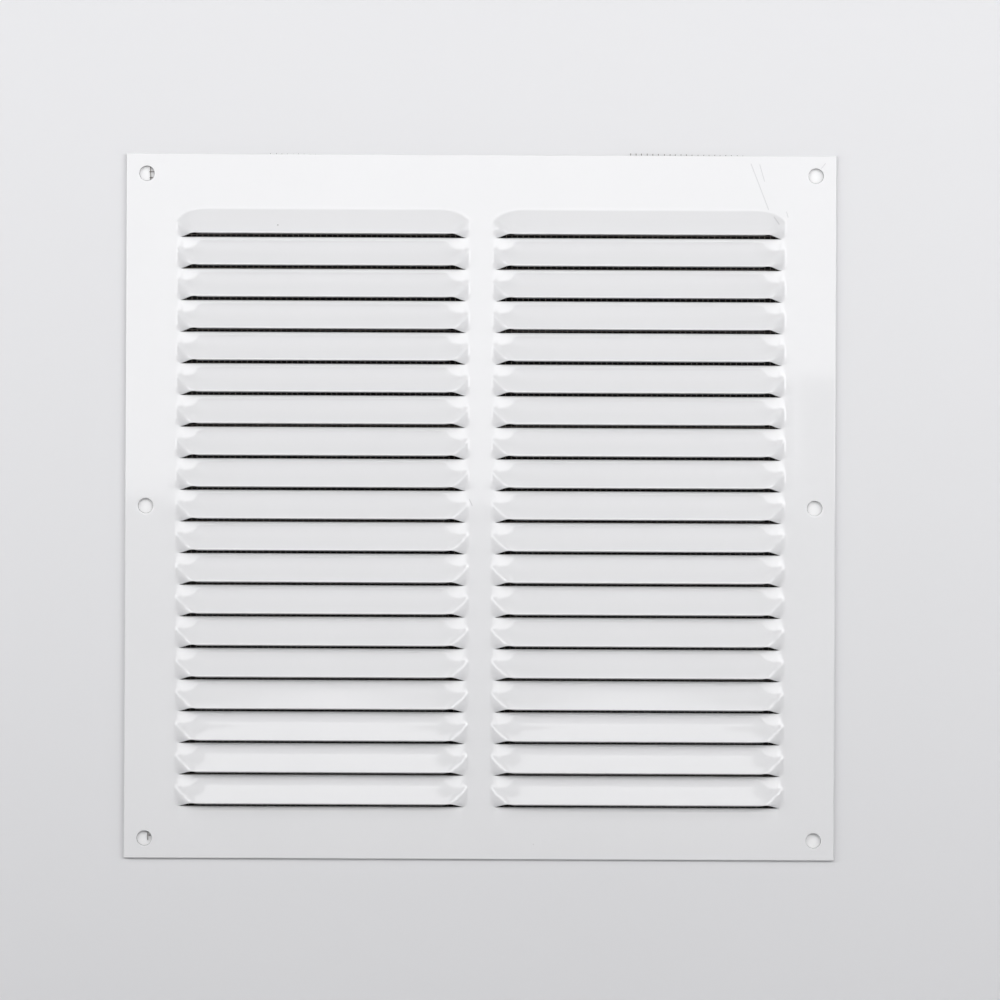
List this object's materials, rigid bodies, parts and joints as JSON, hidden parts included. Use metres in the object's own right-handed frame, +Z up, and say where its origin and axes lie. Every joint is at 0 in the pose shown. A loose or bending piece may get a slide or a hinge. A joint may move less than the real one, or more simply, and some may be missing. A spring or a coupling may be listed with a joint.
{
  "type": "louvred air grille",
  "caption": "Square pressed sheet-metal wall grille with two columns of fixed louvres, plain screw holes along both sides and a woven fly screen glued behind.",
  "frame": {"origin": "middle of the grille on the wall plane, which is the back face of the fly screen", "axes": "+Z up the wall, +X to the right as seen from the front, the louvred front faces -Y and +Y goes into the wall"},
  "size_m": [0.229, 0.0059, 0.2272],
  "materials": {
    "white_paint": "gloss",
    "screen_wire": "satin",
    "adhesive": "gloss"
  },
  "bodies": {
    "root": {"face_plate": "white_paint", "fly_screen": "screen_wire", "glue_dot_1": "adhesive", "glue_dot_2": "adhesive", "glue_dot_3": "adhesive", "glue_dot_4": "adhesive", "glue_dot_5": "adhesive", "glue_dot_6": "adhesive", "glue_dot_7": "adhesive", "glue_dot_8": "adhesive", "glue_dot_9": "adhesive", "glue_dot_10": "adhesive", "glue_dot_11": "adhesive", "glue_dot_12": "adhesive", "glue_dot_13": "adhesive", "glue_dot_14": "adhesive", "glue_dot_15": "adhesive", "glue_dot_16": "adhesive"}
  },
  "joints": []
}
